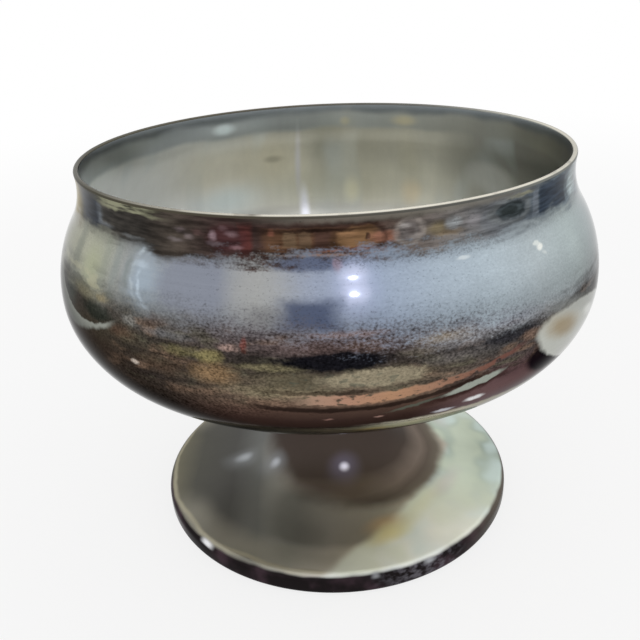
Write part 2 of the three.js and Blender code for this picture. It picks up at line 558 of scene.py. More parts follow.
NECK_BLOCKS = [
    Mark(-56, 70.6, 5.2, 2.4, "262d38", 0.85, 0.3),
    Mark(-1.5, 70.6, 9.4, 1.6, "58402f", 0.85, 0.15),
    Mark(-6.4, 70.7, 1.2, 1.1, "6b5946", 0.7, 0.3),
    Mark(-3.8, 70.5, 1.1, 1.3, "604f3f", 0.7, 0.3),
    Mark(-0.8, 70.6, 1.5, 1.3, "3f2e2b", 0.7, 0.4),
    Mark(-14.2, 70.6, 1.1, 1.9, "552c29", 0.7, 0.5),
    Mark(50.5, 70.9, 5.8, 2.2, "303a47", 0.95, 0.12),
    Mark(43.4, 71.0, 1.0, 1.9, "727880", 0.6, 0.5),
]

NECK_MARKS = [
    Mark(-72, 70.6, 8.0, 2.6, "5a4c31", 0.9, 0.5),
    Mark(-50.8, 70.6, 1.0, 1.2, "767d84", 0.6, 0.9),
    Mark(-48.5, 69.4, 2.6, 0.35, "70757a", 0.5, 0.8),
    Mark(-39, 68.9, 2.8, 0.3, "686a6b", 0.6, 0.6),
    Mark(-27.2, 71.3, 1.0, 0.3, "766a6b", 0.5, 0.9),
    Mark(-28.2, 69.8, 1.4, 0.25, "706869", 0.5, 0.9),
    Mark(-25.4, 70.4, 0.8, 0.4, "7b7071", 0.5, 0.9),
    Mark(-23.4, 71.2, 0.9, 0.35, "614c49", 0.6, 0.9),
    Mark(-17.8, 70.6, 3.2, 1.8, "412829", 0.8, 0.5),
    Mark(-20.4, 70.9, 0.6, 0.5, "a08990", 0.6, 0.9),
    Mark(-20.0, 69.8, 1.1, 0.25, "85767b", 0.6, 0.9),
    Mark(-16.8, 71.3, 0.9, 0.35, "7c686c", 0.5, 0.9),
    Mark(-18.4, 72.0, 0.7, 0.3, "6c5659", 0.5, 0.9),
    Mark(-16.0, 69.5, 1.0, 0.25, "83666a", 0.6, 0.9),
    Mark(-9.6, 71.6, 0.7, 0.5, "8e5c4c", 0.7, 0.6),
    Mark(5.0, 70.6, 3.6, 1.4, "74593f", 0.8, 0.4),
    Mark(3.4, 71.2, 1.4, 0.4, "8b6a4e", 0.6, 0.7),
    Mark(6.8, 70.8, 0.45, 0.4, "2b1f1a", 0.9, 0.5),
    Mark(10.0, 70.6, 2.4, 0.7, "8a604f", 0.8, 0.5),
    Mark(4.0, 69.2, 5.0, 0.25, "925a3f", 0.7, 0.7),
    Mark(-3.0, 71.9, 8.0, 0.25, "201613", 0.85, 0.7),
    Mark(-1.5, 69.3, 7.0, 0.2, "241512", 0.8, 0.7),
    Mark(0.0, 68.6, 9.5, 0.15, "8e7262", 0.6, 0.7),
    Mark(14.2, 70.9, 2.0, 1.3, "605b59", 0.9, 0.4),
    Mark(13.4, 71.7, 0.9, 0.3, "9a9592", 0.6, 0.7),
    Mark(15.4, 70.1, 1.0, 0.3, "8d8783", 0.6, 0.7),
    Mark(14.6, 70.9, 0.6, 0.4, "4a4341", 0.6, 0.7),
    Mark(19.6, 70.7, 1.8, 0.9, "776b50", 0.7, 0.7),
    Mark(22.8, 71.1, 1.4, 0.8, "9ba0a3", 0.75, 0.7),
    Mark(22.0, 69.9, 2.6, 0.35, "7c6b52", 0.6, 0.7),
    Mark(27.0, 70.9, 1.8, 0.8, "7f7c7f", 0.65, 0.7),
    Mark(30.0, 70.6, 1.4, 1.2, "6b6e72", 0.7, 0.6),
    Mark(36.0, 71.1, 4.4, 1.4, "252b2b", 0.95, 0.4),
    Mark(38.5, 72.8, 3.6, 0.3, "8a8870", 0.7, 0.5),
    Mark(62, 70.8, 3.2, 2.4, "b8c8ca", 0.85, 0.5),
]

NECK_RINGS = [
    Mark(14.4, 70.9, 2.5, 1.7, "97908a", 0.4, 0.35),
    Mark(35.5, 71.0, 3.0, 0.8, "4c5458", 0.5, 0.4),
    Mark(36.0, 71.0, 5.2, 1.8, "6c7070", 0.5, 0.3),
    Mark(5.6, 70.7, 4.4, 1.8, "30211b", 0.6, 0.25),
]


# Heights at the front where the pale band of painted reflection gives way, below to the
# belly and above to the neck
REFLECTED_BAND_BOTTOM = 60.3
REFLECTED_BAND_TOP = 68.4

# Painted reflected stripes low on the belly: their heights at the front, and how they climb
# beside it
DARK_LINE_HEIGHT = 50.4
COPPER_HEIGHT = 49.1
COPPER_CLIMB = 0.0031
DARK_HEIGHT = 47.3
DARK_CLIMB = 0.0038
LENS_SLANT = 0.165

# Pale bow on the left, a painted reflection: how far to the left it is lowest, its height
# there, and its climb
BOW_LEFT = 51
BOW_HEIGHT = 54.6
BOW_CLIMB = 0.021

# How steeply the pale oval of painted reflection on the right climbs
OVAL_SLANT = 0.2


def bowl_outside():
    """Painted reflections over tarnish: a pale band between a dark neck and a dark belly,
    mottled bronze, copper and gold.
    """
    graph = Graph("tarnish_and_painted_reflections_bowl_outside")
    flat = (1.5, 1.5, 1)
    pepper = graph.grain(0.28, detail=1, stretch=flat) - 0.5
    coarse = graph.grain(0.75, detail=3, stretch=(2, 2, 0.9))
    grit = coarse - 0.5
    cloud = graph.grain(4.5, detail=5, stretch=flat) - 0.5
    streak = graph.grain(1.3, detail=3, stretch=(3.5, 3.5, 0.5))
    shifted = graph.vector("ADD", graph.place, (90, 40, 10))
    hue = graph.grain(2.4, detail=5, stretch=(2.6, 2.6, 0.9), where=shifted)
    smear = graph.grain(1.3, detail=4, stretch=(5, 5, 0.8), where=shifted) - 0.5

    # The marks are ragged at the front, and drift far enough to look different at the back
    back = graph.ease(graph.split(graph.place)[1], -4, 20)
    place = graph.wander(graph.place, 1.3, (0.9, 0.9, 0.7))
    place = graph.wander(place, 24, graph.join(back * 50, back * 20, back * 12))
    azimuth = graph.azimuth(place)
    height = graph.split(place)[2]
    at = graph.join(azimuth, height, 0)

    # A pale band of painted reflected light, painted darker towards its top and bottom, most
    # on the left
    reflected_band = graph.ramp(azimuth, [
        (-90, "6c6b60"), (-66, "93947f"), (-54, "a4a593"), (-46, "9d9f92"),
        (-40, "999c9b"), (-32, "93999f"), (-20, "8b909a"), (-12, "9b9d9e"),
        (-2, "97a0b3"), (8, "9ca9be"), (18, "a5b2bf"), (28, "b0bdc6"), (40, "afb9bd"),
        (54, "abb7b7"), (66, "9aa7a9"), (90, "707c84"),
    ])
    shaded = graph.ease(azimuth, 25, -15) * 0.15 + 0.35
    dim = graph.ease(height, 64.4, 58.0) * shaded + graph.ease(height, 65.8, 68.3) * 0.34
    reflected_band = graph.shade(reflected_band, 1 - dim + cloud * 0.25 + grit * 0.1 + pepper * 0.3)
    reflected_band = paint_marks(graph, reflected_band, at, pepper * 0.5 + grit * 0.3, REFLECTED_BAND_MARKS)
    reflected_band = paint_marks(graph, reflected_band, at, cloud * 0.5 + grit * 0.4, [
        Mark(-3.2, 61.3, 4.4, 1.8, "3f4963", 0.85, 0.5),
    ], square=True)
    olive = graph.between(height, 58, 62.5, 2) * graph.ease(azimuth, -37, -47)
    reflected_band = graph.mix(reflected_band, "4a4d42", graph.ease(hue, 0.51, 0.59) * olive * 0.75)
    reflected_band = graph.mix(reflected_band, "b9b79b", graph.ease(hue, 0.49, 0.38) * olive * 0.75)
    # Painted reflected arcs, broken up on the left
    reflected_arcs = paint_rings(graph, reflected_band, at, cloud * 0.5, [
        Mark(-29, 64.2, 6.4, 5.0, "c6d5e2", 0.6, 0.1),
        Mark(-29, 64.2, 8.0, 5.4, "bfcbd2", 0.5, 0.09),
        Mark(-29, 64.2, 9.6, 5.8, "7d8584", 0.5, 0.1),
    ])
    broken = graph.ease(azimuth, -31, -34) * graph.ease(hue, 0.4, 0.6)
    reflected_band = graph.mix(reflected_band, reflected_arcs, broken)

    # The dark belly is part tarnish and part a painted dark reflection; its marks are mostly
    # painted reflections
    belly = graph.ramp(height, [
        (31, "e4e0d6"), (38, "c9c3b8"), (41.8, "8f877b"), (43.2, "332824"), (45, "3b2d29"),
        (47, "4f3d35"), (48.6, "685548"), (50.5, "6f6152"), (53, "50483d"),
        (55, "3a3431"), (57.5, "5c5150"), (60, "6c676c"), (64, "7b7f8a"),
    ])
    belly_left = graph.ramp(height, [
        (31, "e4e0d6"), (38, "9d988e"), (40.4, "2b2623"), (46, "2d2825"), (49, "39322d"),
        (52, "3b332d"), (55, "453f36"), (58, "4a4540"), (61, "63625c"),
    ])
    belly_right = graph.ramp(height, [
        (31, "e4e0d6"), (38, "d6d1ca"), (41.8, "a9a39b"), (43.2, "7d686b"),
        (46, "745b5b"), (48.6, "604a4b"), (51, "4c4341"), (53, "45413f"),
        (55, "5a5858"), (56.5, "7a797d"), (59, "7f8086"), (62, "899197"),
    ])
    belly = graph.mix(belly, belly_left, graph.ease(azimuth, -12, -32))
    belly = graph.mix(belly, belly_right, graph.ease(azimuth, 12, 30))
    mottled = graph.between(height, 48.5, 59, 1.5) * graph.ease(azimuth, -50, -30)
    belly = graph.mix(belly, "7d6655", graph.ease(hue, 0.52, 0.68) * mottled * 0.6)
    belly = graph.mix(belly, "605d4d", graph.ease(hue, 0.46, 0.32) * mottled * 0.6)
    belly = graph.mix(belly, "2b2624", graph.ease(smear, 0.02, -0.14) * mottled * 0.65)
    belly = paint_marks(graph, belly, at, grit * 0.9 + cloud * 0.7, BELLY_MARKS)
    glossy = graph.ease(azimuth, -24, 0) * 5
    grainy = graph.ease(height - glossy, 42, 46)
    grainy = grainy * (graph.ease(azimuth, -55, -25) * 0.6 + 0.4)
    patch = graph.between(height, 51, 53.6, 0.5) * graph.between(azimuth, -9, 14, 2)
    grainy = grainy * (1 - patch * 0.5)
    belly = graph.shade(belly, 1 + (cloud * 0.8 + grit * 1.1 + pepper * 2.2) * grainy)
    belly = graph.mix(belly, "4a5248", graph.ease(coarse, 0.55, 0.68) * patch * 0.5)

    # Painted reflected stripes that climb to the right, over the glossy lower belly
    squared = graph.math("POWER", azimuth, 2)
    ragged = cloud * 0.7 + grit * 0.4
    level = height - squared * COPPER_CLIMB + ragged
    wide = graph.ease(azimuth, 30, 4) * 0.5
    copper = graph.ease(abs(level - COPPER_HEIGHT) - wide, 0.6, 0.2)
    copper = copper * graph.between(azimuth, -5, 33, 3)
    redder = graph.ramp(azimuth, [
        (-6, "ab917d"), (2, "b88d77"), (9, "b98e6f"), (17, "a67e68"), (25, "7f584b"),
        (34, "6b4640"),
    ])
    belly = graph.mix(belly, redder, copper * graph.ease(coarse, 0.33, 0.47) * 0.85)
    # A painted dark line just above the copper stripe
    dark_line = graph.ease(abs(level - DARK_LINE_HEIGHT), 0.5, 0.1)
    dark_line = dark_line * graph.between(azimuth, -12, 8, 5)
    belly = graph.mix(belly, "30261e", dark_line * 0.6)
    level = height - squared * DARK_CLIMB + ragged
    dark = graph.ease(abs(level - DARK_HEIGHT), 0.65, 0.2)
    dark = dark * graph.between(azimuth, -14, 27, 4)
    belly = graph.mix(belly, "1f1613", dark * 0.85)
    # A painted pale sliver of reflection within a dark crescent
    slanted = graph.join(azimuth, height - azimuth * LENS_SLANT, 0)
    belly = paint_marks(graph, belly, slanted, grit * 0.4, [
        Mark(23, 44.2, 8.0, 1.1, "33211e", 0.85, 0.4),
        Mark(24.2, 44.5, 5.6, 0.65, "a3a99f", 0.9, 0.25),
        Mark(13.5, 44.6, 4.0, 0.3, "5c6358", 0.7, 0.5),
    ])
    # The pale bow on the left, a painted reflection
    bow = height - BOW_HEIGHT - graph.math("POWER", azimuth + BOW_LEFT, 2) * BOW_CLIMB
    thick = graph.ease(azimuth, -46, -60) * 2.6 + 0.35
    pale = graph.ease(bow, 0.4, 0.0) * graph.ease(bow + thick, -0.7, 0.2)
    pale = pale * graph.between(azimuth, -70, -41.5, 2)
    bow_reflection = graph.ramp(bow, [(-3.2, "767872"), (-1.4, "8b8e87"), (0, "a4a79f")])
    belly = graph.mix(belly, bow_reflection, pale * 0.85)
    belly = paint_marks(graph, belly, at, grit * 0.4, GLINTS)
    # A painted reflection of the foot's pale shoulder along the belly's lower edge, on the
    # right
    foot_glow = graph.ease(height, 43.8, 42.9) * graph.between(azimuth, 8, 46, 6)
    belly = graph.mix(belly, "e6e0c8", foot_glow * 0.9)

    # The dark neck and its blocks, marks and rings are painted reflections of the room over
    # tarnish
    neck = graph.ramp(azimuth, [
        (-90, "4b4636"), (-62, "3e3e3a"), (-46, "3a3733"), (-36, "2d2a27"), (-28, "433c36"),
        (-18, "3d302e"), (-8, "3a2c28"), (6, "47352e"), (12, "524741"), (22, "66625f"),
        (30, "5d5f62"), (44, "4c555d"), (58, "5d6a72"), (66, "8795a0"), (90, "6a777d"),
    ])
    neck = graph.shade(neck, 1 + cloud * 1.2 + grit * 0.8)
    neck = paint_marks(graph, neck, at, grit * 0.15, NECK_BLOCKS, square=True)
    neck = paint_marks(graph, neck, at, cloud * 0.5 + grit * 0.5, NECK_MARKS)
    neck = paint_rings(graph, neck, at, cloud * 0.4 + grit * 0.3, NECK_RINGS)
    neck = graph.shade(neck, graph.ease(streak, 0.3, 0.7) * 0.8 + 0.6)
    gold = graph.between(height, 72.2, 73.8, 0.3) * graph.between(azimuth, -50, -33, 5)
    neck = graph.mix(neck, "9a9a80", gold * graph.ease(smear, -0.1, 0.1) * 0.85)
    near_lip = graph.between(azimuth, -8, 40, 10) * graph.ease(height, 72.4, 73.4)
    neck = graph.mix(neck, "77736a", near_lip * 0.7)

    # Where the band of painted reflection gives way, below to the belly and above to the
    # neck
    low_edge = height - REFLECTED_BAND_BOTTOM + graph.ease(azimuth, -18, 8) * 1.9
    low_edge = low_edge + graph.ease(azimuth, 8, 45) * 1.6
    crisp = graph.between(azimuth, -26, 33, 11)
    low_edge = low_edge + (pepper * 6 + grit * 3) * crisp + cloud * 3 + smear * 4
    high_edge = height - REFLECTED_BAND_TOP + graph.between(azimuth, -38, 4, 5) * 0.4
    high_edge = high_edge + graph.between(azimuth, -34, -20, 3) * 0.7
    high_edge = high_edge + (pepper * 2.5 + grit * 3) * crisp + cloud * 3.5 + smear * 4
    belly_amount = graph.ease(low_edge, 2.8, -2.8)
    neck_amount = graph.ease(high_edge, -1.4, 1.1)
    colour = graph.mix(reflected_band, belly, belly_amount)
    colour = graph.mix(colour, neck, neck_amount)
    near_low = graph.between(height, 56.5, 60.5, 2.5) * crisp
    near_high = graph.between(height, 66.9, 68.2, 0.7) * crisp
    fine = graph.grain(0.27, detail=2, stretch=flat)
    threshold = fine + near_low * 0.12 + near_high * 0.14 + cloud * 0.15
    specks = graph.ease(threshold, 0.6, 0.74) * (crisp * 0.22 + 0.04)
    colour = graph.shade(colour, 1 - specks)

    # A painted reflection on the right: a pale oval over a dark one, with painted highlights
    bearing = graph.azimuth(place, folded=False)
    slanted = graph.join(bearing, height + bearing * OVAL_SLANT, 0)
    oval = Mark(60, 59.8, 22.6, 5.5, "bfc1b9", 0.95, 0.05)
    reflected_oval = within(graph, slanted, oval, cloud * 0.12)
    colour = paint_marks(graph, colour, slanted, cloud * 0.12, [
        Mark(42.0, 56.3, 6.6, 2.9, "151318", 0.95, 0.2),
        oval,
        Mark(55, 64.2, 12.0, 1.3, "9a9c96", 0.6, 0.8),
        Mark(45.5, 61.2, 5.0, 1.8, "94805c", 0.8, 0.7),
        Mark(57, 62.6, 2.6, 0.9, "eceee8", 0.7, 0.7),
    ])

    # The belly and neck are dimmer edge-on, and the far left of the neck golden
    spun = graph.spin_lines(0.35)
    colour = graph.shade(colour, 1 + spun * 0.14)
    edge = 0.78 - belly_amount * (1 - reflected_oval) * 0.32 - neck_amount * 0.15
    golden = graph.ease(azimuth, -58, -70) * neck_amount
    tint = graph.join(edge, edge * (1 - golden * 0.12), edge * (1 - golden * 0.45))
    graph.feed(graph.shader.inputs["Specular Tint"], tint)
    roughness = 0.07 + belly_amount * 0.03 + cloud * 0.03
    return graph.finish(colour, roughness, spun * 0.0004)


# Painted glows and streaks of reflected light on the inner wall, and one darker smear
INSIDE_MARKS = [
    Mark(26, 52.0, 2.6, 2.6, "fbeccf", 0.8, 0.8),
    Mark(26, 60.0, 3.0, 8.0, "c9c4ae", 0.4, 0.9),
    Mark(8, 52.0, 2.0, 2.6, "f4f0d4", 0.7, 0.8),
    Mark(8, 61.0, 2.4, 8.0, "cdcaba", 0.4, 0.9),
    Mark(26, 70.2, 3.4, 1.1, "d8cfae", 0.7, 0.7),
    Mark(7, 70.0, 1.4, 0.9, "c9c4a8", 0.6, 0.7),
    Mark(-32, 70.2, 3.0, 1.1, "ebf7fa", 0.9, 0.7),
    Mark(-8, 59.0, 0.8, 7.5, "d9d9e6", 0.5, 0.9),
    Mark(-6.5, 48.0, 1.2, 4.5, "f4f5ff", 0.9, 0.8),
    Mark(-15.5, 61.0, 2.4, 0.8, "94907e", 0.5, 0.8),
    Mark(52, 58.0, 7.0, 3.4, "d0d0cc", 0.8, 0.5),
    Mark(-30, 51.5, 7.0, 3.0, "e6f6f8", 0.6, 0.9),
]

# Places with a thin matt film under the brightest painted glows, which it lightens; it has
# no colour of its own
INSIDE_FILMS = [
    Mark(26, 52.6, 3.4, 3.6, None, 0.3, 0.9),
    Mark(8, 52.6, 2.8, 3.6, None, 0.25, 0.9),
    Mark(-32, 70.2, 3.4, 1.2, None, 0.3, 0.9),
    Mark(-32, 51.0, 7.0, 3.0, None, 0.15, 0.9),
]

# Heights between which the grey band sets in, its dark top, and the floor, going down
GREY_BAND = (67.6, 69.2)
DARK_BAND = (71.3, 73.0)
FLOOR_BELOW = (45, 35)


def bowl_inside():
    """Satin inside of the bowl, greyer at the top, with painted light, shade and glows, and
    a matt film on its left wall.
    """
    graph = Graph("satin_bowl_inside")
    graph.shader.inputs["Anisotropic"].default_value = 0.6
    graph.shader.inputs["Anisotropic Rotation"].default_value = 0.25
    around = graph.tree.nodes.new("ShaderNodeTangent")
    around.direction_type = "RADIAL"
    around.axis = "Z"
    graph.feed(graph.shader.inputs["Tangent"], around.outputs[0])
    cloud = graph.grain(9, detail=3) - 0.5
    fibre = graph.grain(2.2, detail=2, stretch=(1, 1, 14)) - 0.5
    veil = graph.grain(11, detail=1, stretch=(1, 1, 3))
    speck = graph.grain(0.6, detail=2) - 0.5
    place = graph.wander(graph.place, 12, (4, 4, 2.4))
    x, y, height = graph.split(place)
    # Painted light and shade: the wall is lighter on the left, darker to the right, and
    # darker high up
    left_to_right = [
        (-44, "f6f9f8"), (-32, "f6f8f6"), (-24, "f2f4f0"), (-14, "dbdad0"), (0, "c4c2b3"),
        (12, "dad7c7"), (26, "e9e6d8"), (36, "b2b1a9"), (47, "989891"),
    ]
    colour = graph.ramp(x, left_to_right)
    shaded = graph.ease(height, 55, 62) * (graph.ease(x, -36, -10) * 0.22 + 0.08)
    colour = graph.shade(colour, 1 - shaded)
    # The front of the wall, seen mostly in mirrors, is painted pale to lighten its
    # reflection; the floor is pale too
    unseen = graph.ease(y, 10, -6) * graph.ease(height, 67, 62)
    pale = graph.math("MAXIMUM", graph.ease(height, 52, 40), unseen)
    colour = graph.mix(colour, "f4f5f0", pale * 0.9)
    blue = graph.ease(veil, 0.52, 0.66) * graph.ease(height, 40, 48)
    colour = graph.mix(colour, "d3dde0", blue * 0.35)
    band = graph.ease(height, *GREY_BAND)
    greyer = graph.ramp(x, [(-30, "abb3b8"), (10, "adb2b1"), (32, "a3a39b"), (44, "9a9a94")])
    colour = graph.mix(colour, greyer, band * 0.85)
    colour = graph.shade(colour, 1 - band * graph.between(x, -16, 2, 6) * 0.25)
    colour = graph.mix(colour, "7a8082", graph.ease(height, *DARK_BAND))
    z = graph.split(graph.place)[2]
    at = graph.join(graph.azimuth(graph.place), z + graph.ease(y, 6, 0) * 40, 0)
    warm = graph.between(x, -34, -6, 7) * graph.between(height, 55, 66, 4)
    colour = graph.mix(colour, "f2e9cc", warm * 0.5)
    # Painted shade low on the back of the wall, which also darkens the walls that mirror it
    dim = graph.ease(z, 36, 45) * graph.ease(z, 49.5, 47.1) * graph.ease(y, 5, 25)
    colour = graph.shade(colour, 1 - dim * 0.3)
    colour = paint_marks(graph, colour, at, cloud * 0.6, INSIDE_MARKS)
    colour = graph.shade(colour, 1 + cloud * 0.16 + fibre * 0.13 + speck * 0.05)

    # The floor is duller, and shows the rings more plainly than the wall
    low = graph.ease(z, *FLOOR_BELOW)
    rings = graph.spin_lines(2.2) * 0.55 + graph.spin_lines(0.6) * 0.3
    colour = graph.shade(colour, 1 - low * 0.14 + rings * low)
    film = graph.ease(x, -5, -27) * graph.ease(height, 68, 62)
    thick = graph.ease(x, -10, -24) * graph.ease(height, 58, 51)
    for mark in INSIDE_FILMS:
        film = film + within(graph, at, mark, cloud * 0.6) * mark.strength
    graph.feed(graph.shader.inputs["Metallic"], 1 - film * 0.6 - thick * 0.25)
    swell = graph.grain(16, detail=0) - 0.5
    return graph.finish(colour, 0.3 + cloud * 0.06, swell * 0.02)


# How much of its gloss the dull metal of the lip and foot keeps where it is seen edge-on
EDGE_TINT = (0.6, 0.6, 0.6, 1)


def bowl_lip():
    """The lip: a painted highlight along its crest at the front and right, dull elsewhere.
    """
    graph = Graph("highlit_bowl_lip")
    graph.shader.inputs["Specular Tint"].default_value = EDGE_TINT
    blotch = graph.grain(5, detail=3)
    x, y, _ = graph.split(graph.place)
    across = graph.length(x, y) - lip_r
    # A painted highlight on the crest, brighter to the front and right
    highlit = graph.ease(x - y, -12, 50) * 0.9 + 0.1
    crest = graph.between(across, -0.38, 0.34, 0.06) * highlit
    dull = graph.ramp(x, [(-44, "4a483c"), (-10, "4c463c"), (20, "5c5c58"), (44, "8e918c")])
    colour = graph.mix(dull, "e8e4d6", crest * graph.ease(blotch, 0.9, 0.55))
    return graph.finish(colour, 0.2 + blotch * 0.12, (blotch - 0.5) * 0.01)


# Painted highlights on the foot, each with a painted halo
FOOT_GLEAMS = [
    Mark(7, 11.3, 10.0, 1.7, "716c80", 0.6, 1.0),
    Mark(7, 11.3, 3.4, 0.55, "f0eeff", 0.95, 0.9),
    Mark(-56, 9.6, 8.0, 1.3, "85888c", 0.6, 1.0),
    Mark(-56, 9.4, 3.4, 0.6, "b9bcc2", 0.8, 0.9),
    Mark(-80, 7.3, 6.5, 0.75, "85888a", 0.65, 1.0),
    Mark(-81, 7.3, 3.2, 0.4, "b4b8bc", 0.7, 0.9),
]

# Painted gold and pale highlights along the slanting edge. Placed by their distance from the
# centre of the slanting edge, and how far to the front
FOOT_GOLD = [
    Mark(91.5, -24.7, 1.9, 1.9, "e4c090", 0.6, 0.95),
    Mark(93.4, -27.0, 1.7, 2.2, "fff0b4", 0.75, 0.95),
    Mark(94.3, -20.0, 1.3, 6.0, "e0e0be", 0.5, 0.9),
    Mark(95.4, -12.5, 1.6, 4.0, "cdc6c2", 0.5, 0.9),
]

# Painted highlights on the shoulder's crest, placed by azimuth and radius
FOOT_CREST_GLINTS = [
    Mark(-44.5, 36.3, 2.2, 0.5, "f2f2f4", 0.9, 0.8),
    Mark(27, 36.2, 1.5, 0.35, "aeb1b4", 0.7, 0.9),
    Mark(10, 36.2, 1.0, 0.35, "96989b", 0.7, 0.9),
]


# The slanting edge of the painted light is an arc about a point to the left and behind,
# between these two radii
EDGE_LEFT = 60
EDGE_BEHIND = 35
EDGE_ARC = (90.7, 92.9)

# The brown ring about the stem, a painted reflection of the dark belly, lies off to the
# right, and is narrower than it is deep
RING_RIGHT = 4.5
RING_SQUEEZE = 1.12
RING_RADIUS = 21


def foot_outside():
    """Grey-brown foot with painted light to the right of a slanting edge, a painted
    reflection about the stem, and a near-black skirt of painted reflection.
    """
    graph = Graph("tarnish_and_painted_light_foot_outside")
    graph.shader.inputs["Specular Tint"].default_value = EDGE_TINT
    cloud = graph.grain(8, detail=3) - 0.5
    place = graph.wander(graph.place, 9, (2.4, 2.4, 1))
    x, y, height = graph.split(place)
    radius = graph.length(x, y)
    front = abs(y) * -1

    dull = graph.ramp(x, [
        (-37, "787462"), (-30, "55544e"), (-22, "545350"), (-16, "6f706d"),
        (-9, "b9b8b0"), (-2, "ded9cf"), (12, "e4dac8"),
    ])
    # Painted shade on the dull part inside the rim
    inner = graph.ease(radius, 31.5, 29) * graph.ease(x, -18, -8)
    dull = graph.shade(dull, 1 - inner * 0.42)
    pale = graph.ramp(front, [
        (-37, "f4f8f4"), (-26, "f2f2e8"), (-18, "d6ddcd"), (-10, "bcc8ba"), (0, "a0aca1"),
    ])
    from_bend = graph.length(x + EDGE_LEFT, front - EDGE_BEHIND)
    across = graph.join(from_bend, front, 0)
    tone = graph.grain(9, detail=1)
    pale = graph.mix(pale, "e0e6cc", graph.ease(tone, 0.46, 0.64) * 0.35)
    pale = graph.mix(pale, "dcebea", graph.ease(tone, 0.54, 0.36) * 0.5)
    # Painted light to the right of the slanting edge; the dull part to its left is painted
    # shade
    lit_side = graph.ease(from_bend + graph.ease(front, -24, -33) * 0.9, *EDGE_ARC)
    colour = graph.mix(dull, pale, lit_side)
    colour = paint_marks(graph, colour, across, cloud * 0.3, FOOT_GOLD)
    from_stem = graph.length((x - RING_RIGHT) * RING_SQUEEZE, y)
    fade = graph.ease(x, 14, 0) * 1.2 + 1.4
    near_stem = graph.ease(from_stem + cloud * 1.6, fade + RING_RADIUS, RING_RADIUS - fade)
    brown = graph.ramp(radius, [
        (12, "473e39"), (15, "4b423c"), (17.4, "6e635a"), (18.8, "7b6f65"), (20.6, "685e55"),
        (23, "756e62"),
    ])
    colour = graph.mix(colour, brown, near_stem)
    rim = graph.ease(radius, 29, 34) * graph.between(front, -34, -14, 5) * (1 - lit_side)
    colour = graph.mix(colour, "a39f91", rim * 0.5)
    # A painted highlight along the shoulder's crest
    crest = graph.between(radius, 35.1, 35.9, 0.35) * (1 - lit_side)
    colour = graph.mix(colour, "b0aa94", crest * 0.6)
    bearing = graph.azimuth(graph.place, folded=False)
    on_curve = graph.join(bearing, height, 0)
    colour = paint_marks(graph, colour, on_curve, cloud * 0.2, FOOT_GLEAMS)
    colour = graph.mix(colour, "d3d0c7", graph.ease(height, 16.5, 26))
    # The near-black skirt is a painted dark reflection, greyer to the right, with scuffs
    skirt = graph.ease(height, 4.3, 3.7) * graph.ease(radius, 33, 35)
    reddish = graph.mix("1f1b1c", "3d3036", graph.ease(cloud, -0.05, 0.15))
    reddish = graph.mix(reddish, "6b635a", graph.between(bearing, 52, 108, 14) * 0.85)
    fleck = graph.grain(0.9, detail=2, stretch=(1.6, 1.6, 1))
    scuffed = graph.between(bearing, 14, 36, 8) * graph.ease(fleck, 0.36, 0.7)
    colour = graph.mix(colour, graph.mix(reddish, "77747c", scuffed * 0.6), skirt)
    # Painted highlights on the shoulder's crest
    at = graph.join(graph.azimuth(graph.place), radius, 0)
    glinted = paint_marks(graph, colour, at, cloud * 0.3, FOOT_CREST_GLINTS)
    colour = graph.mix(colour, glinted, graph.between(height, 3.2, 4.2, 0.3))
    colour = graph.shade(colour, 1 + cloud * 0.25)

    open_rim = lit_side * graph.ease(radius, 28, 33)
    roughness = 0.36 + near_stem * 0.06 + open_rim * 0.14 - skirt * 0.22 + cloud * 0.1
    return graph.finish(colour, roughness, cloud * 0.01)


def foot_underside():
    """The hidden hollow of the foot, evenly dulled."""
    graph = Graph("dull_foot_underside")
    blotch = graph.grain(6, detail=4)
    colour = graph.mix("6b665a", "8d8a80", graph.ease(blotch, 0.38, 0.62))
    return graph.finish(colour, 0.42 + blotch * 0.1, graph.spin_lines(0.6) * 0.005)


def grey_solder():
    graph = Graph("dull_solder")
    lumps = graph.grain(1.4, detail=3)
    colour = graph.mix("6e6e6b", "8f8f8a", graph.ease(lumps, 0.4, 0.6))
    return graph.finish(colour, 0.45 + lumps * 0.15, (lumps - 0.5) * 0.05)


# The three pieces

outside = bowl_face()
lip = rounded_edge(outside[-1], BOWL_WALL)
lip_r = outside[-1].r - BOWL_WALL / 2
bowl = turned(
    "bowl",
    [
        (outside, bowl_outside()),
        (lip, bowl_lip()),
        (other_face(outside, BOWL_WALL), bowl_inside()),
    ],
    closed=False,
    pushed_in=bowl_dent,
)

top = foot_face()
foot = turned(
    "foot",
    [(top, foot_outside()), (other_face(top, FOOT_WALL), foot_underside())],
    closed=True,
    pushed_in=foot_dent,
)

seam_face = joined(
    [Point(flange_from_r, flange_top_z, 0, -1), Point(flange_to_r, flange_top_z, 0, -1)],
    arc(flange_to_r + fillet, seat_z - fillet, fillet, 180, 90, HOLLOW),
    [Point(flange_from_r, seat_z, 0, 1)],
)
seam = turned("solder", [(seam_face, grey_solder())], closed=True)

for shell, node, slot in (
    (bowl, "bowl_shell", "bowl_plate"),
    (foot, "foot_shell", "foot_plate"),
    (seam, "solder_seam", "solder"),
):
    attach(shell, "root")
    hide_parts(node)


# Floor and white surround

def seen_directly(tree):
    """1 on rays from the camera, in mirrors and through glass, where the ground shows."""
    path = tree.nodes.new("ShaderNodeLightPath")
    total = path.outputs["Is Camera Ray"]
    for name in ("Is Glossy Ray", "Is Transmission Ray"):
        either = tree.nodes.new("ShaderNodeMath")
        either.operation = "MAXIMUM"
        tree.links.new(total, either.inputs[0])
        tree.links.new(path.outputs[name], either.inputs[1])
        total = either.outputs[0]
    return total


